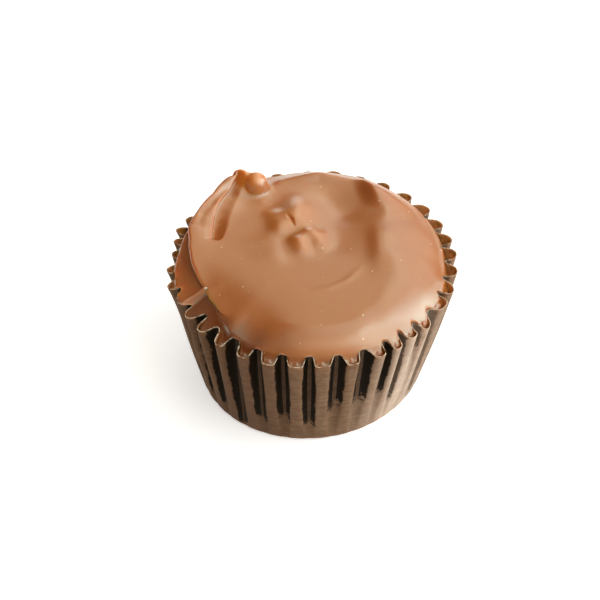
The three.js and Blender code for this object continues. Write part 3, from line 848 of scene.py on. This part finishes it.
def top_row(share):
    """A ring of the top. Share 0 to 1 is the plate, 1 to 2 the shoulder and 2 to 3 the apron."""
    def points(column):
        turn = np.minimum(2, 1 + 0.8 * (last_share - 1))
        outer = np.where(share < 2, mix(1, turn, share - 1), mix(turn, last_share, share - 2))
        here = share if share <= 1 else outer
        return top_point(mix(even_angle, inner_angle, ease(share - 2)), here)
    return points


def bead_row(turn):
    """A ring of the rounded edge, which turns down over the paper's cut edge."""
    def points(column):
        x = mix(inner_x, outline_x, math.sin(turn))
        y = mix(inner_y, outline_y, math.sin(turn))
        return x, y, inner_height - bead * (1 - math.cos(turn))
    return points


def under_row(share):
    """The underside of that edge, back from the widest place to the paper's inner face."""
    def points(column):
        radius = mix(np.hypot(edge_x, edge_y), edge_radius, share)
        low = np.minimum(edge_z + 0.04, inner_height - bead - 0.01) - 0.02 * (1 - share)
        return radius * np.cos(edge_angle), radius * np.sin(edge_angle), low
    return points


def filling_row(share):
    return lambda column: wall_face(column, edge_level * share, inwards)


def filling_foot(share):
    def points(column):
        x, y, _ = floor_row(share, -outside - CHOCOLATE_GAP)(column)
        return x, y, PAPER + CHOCOLATE_GAP
    return points


lower_rows = (
    [lambda column: (BASE_SHIFT, 0, PAPER + CHOCOLATE_GAP), filling_foot(0.5), filling_foot(0.98)]
    + [filling_row(share) for share in (0.06, 0.2, 0.4, 0.6, 0.8, 0.93)]
    + [under_row(share) for share in (0, 1)]
)
upper_rows = (
    [bead_row(math.pi / 2 * (1 - ring / BEAD_RINGS)) for ring in range(BEAD_RINGS)]
    + [top_row(3 - ring / APRON_RINGS) for ring in range(APRON_RINGS)]
    + [top_row(2 - ring / SHOULDER_RINGS) for ring in range(SHOULDER_RINGS)]
    + [top_row(1 - (1 - INNER_SHARE) * ring / OUTER_RINGS) for ring in range(OUTER_RINGS)]
    + [top_row(INNER_SHARE * (1 - ring / INNER_RINGS)) for ring in range(INNER_RINGS)]
    + [lambda column: (0, 0, surface_height(np.zeros(1), np.zeros(1))[0])]
)
filling, filling_row_number, filling_column = wrapped_body("chocolate_filling", lower_rows + upper_rows)

# The last of the edge, in the middle of the outward folds in front, is dull, and darkened with a
# painted shadow for the gap where it meets the paper.
DARK_EDGE = [(200, 0.3), (225, 1), (318, 1), (345, 0.3)]
DARK_EDGE_RINGS = 4
up_from_paper = np.maximum(0, filling_row_number - len(lower_rows))
filling_phase = filling_column / COLUMNS_PER_PLEAT
in_the_fold = 1 - ease(2 * np.abs(filling_phase - np.round(filling_phase)) * 1.4)
dark_edge = round_the_cup(fold_direction(filling_phase), DARK_EDGE) * in_the_fold
near_paper = 1 - ease((up_from_paper - 1) / DARK_EDGE_RINGS)
note(filling.data, "dull_with_painted_shadow", 0.6 * dark_edge * near_paper)
# The low part under the lip, in front of the rib, is darkened with painted shade, and that fades up
# the shoulder.
PAINTED_SHADE_SHARE = [(200, 0), (207, 1), (242, 1), (254, 0.5), (268, 0)]
HOLLOW_FADE_RINGS = 24
up_the_shoulder = up_from_paper - BEAD_RINGS - APRON_RINGS
low = 1 - ease(up_the_shoulder / HOLLOW_FADE_RINGS)
note(filling.data, "painted_shade_in_the_hollow", round_the_cup(fold_direction(filling_phase), PAINTED_SHADE_SHARE) * low)
# Over the grains in the middle and beside the lip the colour is lighter and more orange: partly the
# thin chocolate over pale grains, and partly painted light for the glow through it on their shaded sides.
GLOW_OVER_THE_GRAINS = 0.22
GLOW_BESIDE_THE_BALL = 0.65
# the painted glow lights the shaded side of the round grain here
GLOW_PLACE = (-10.0, 15.15)  # on the left of the round grain, which faces the lip
GLOW_RADIUS = 1.4
GLOW_FADE = 1.6
filling_x, filling_y, _ = np.array([corner.co[:] for corner in filling.data.vertices]).T / MILLIMETRE
on_top = up_from_paper > BEAD_RINGS
grain_height = sum(swollen(filling_x, filling_y, *grain) for grain in SWELLS[:GRAINS])
over_the_grains = GLOW_OVER_THE_GRAINS * np.clip(grain_height, 0, 1)
from_glow_place = np.hypot(filling_x - GLOW_PLACE[0], filling_y - GLOW_PLACE[1])
glow_beside_the_ball = GLOW_BESIDE_THE_BALL * (1 - ease((from_glow_place - GLOW_RADIUS) / GLOW_FADE))
note(filling.data, "thin_and_painted_glow", np.maximum(over_the_grains, glow_beside_the_ball) * on_top)

MILK_CHOCOLATE = (0.46, 0.122, 0.010, 1)
MILK_CHOCOLATE_PALE = (0.48, 0.142, 0.018, 1)
# the lighter colour over the grains, partly painted glow
CHOCOLATE_PAINTED_GLOW = (0.78, 0.27, 0.035, 1)
# the colour of the painted shade in the hollow under the lip
CHOCOLATE_PAINTED_SHADE = (0.20, 0.045, 0.006, 1)
# the colour of the painted shadow at the paper
CHOCOLATE_PAINTED_SHADOW = (0.20, 0.045, 0.004, 1)
CHOCOLATE_SPECK = (0.90, 0.62, 0.40, 1)
CHOCOLATE_ROUGHNESS = 0.31

milk_chocolate, chocolate_shader, wire = new_finish("milk chocolate")
place = wire.make("TexCoord", output="Object")
cloud = noise(wire, place, 120, 3, 0.5)
fine = noise(wire, place, 1500, 3, 0.6)
# pale specks, in some of the cells of an even pattern
cells = {"Vector": place, "Scale": 640}
cell_colour = wire.make("TexVoronoi", inputs=cells, output="Color")
chosen = wire.make("SeparateColor", inputs={"Color": cell_colour}, output="Red").between(0.35, 0.9)
speck = 1 - wire.make("TexVoronoi", inputs=cells, output="Distance").between(0.05, 0.11)
dull_with_painted_shadow = noted(wire, "dull_with_painted_shadow")
painted_shade = noted(wire, "painted_shade_in_the_hollow") * (0.75 + 0.5 * (cloud - 0.5))
colour = blended(cloud.between(0.3, 0.7) * 0.5, MILK_CHOCOLATE, MILK_CHOCOLATE_PALE)
colour = blended(speck * chosen, colour, CHOCOLATE_SPECK)
# painted glow over the grains and on the shaded side of the round grain
colour = blended(noted(wire, "thin_and_painted_glow"), colour, CHOCOLATE_PAINTED_GLOW)
# painted shade in the hollow under the lip
colour = blended(painted_shade, colour, CHOCOLATE_PAINTED_SHADE)
# painted shadow at the paper's edge in front
colour = blended(dull_with_painted_shadow, colour, CHOCOLATE_PAINTED_SHADOW)
wire_up(chocolate_shader, "Base Color", colour)
dulled = 0.6 * dull_with_painted_shadow + 0.1 * (fine - 0.5) + 0.12 * (cloud - 0.5)
wire_up(chocolate_shader, "Roughness", CHOCOLATE_ROUGHNESS + dulled)
bump = wire.make("Bump", inputs={"Height": fine, "Strength": 0.12, "Distance": 0.0001}, output="Normal")
wire_up(chocolate_shader, "Normal", bump)
chocolate_shader.inputs["Subsurface Weight"].default_value = 0.8
chocolate_shader.inputs["Subsurface Radius"].default_value = (1.0, 0.40, 0.15)
chocolate_shader.inputs["Subsurface Scale"].default_value = 0.0018
chocolate_shader.inputs["IOR"].default_value = 1.75
chocolate_shader.inputs["Specular IOR Level"].default_value = 1.0
chocolate_shader.inputs["Specular Tint"].default_value = (0.78, 1.0, 0.86, 1)
filling.data.materials.append(milk_chocolate)
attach(filling, "root")
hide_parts("chocolate")
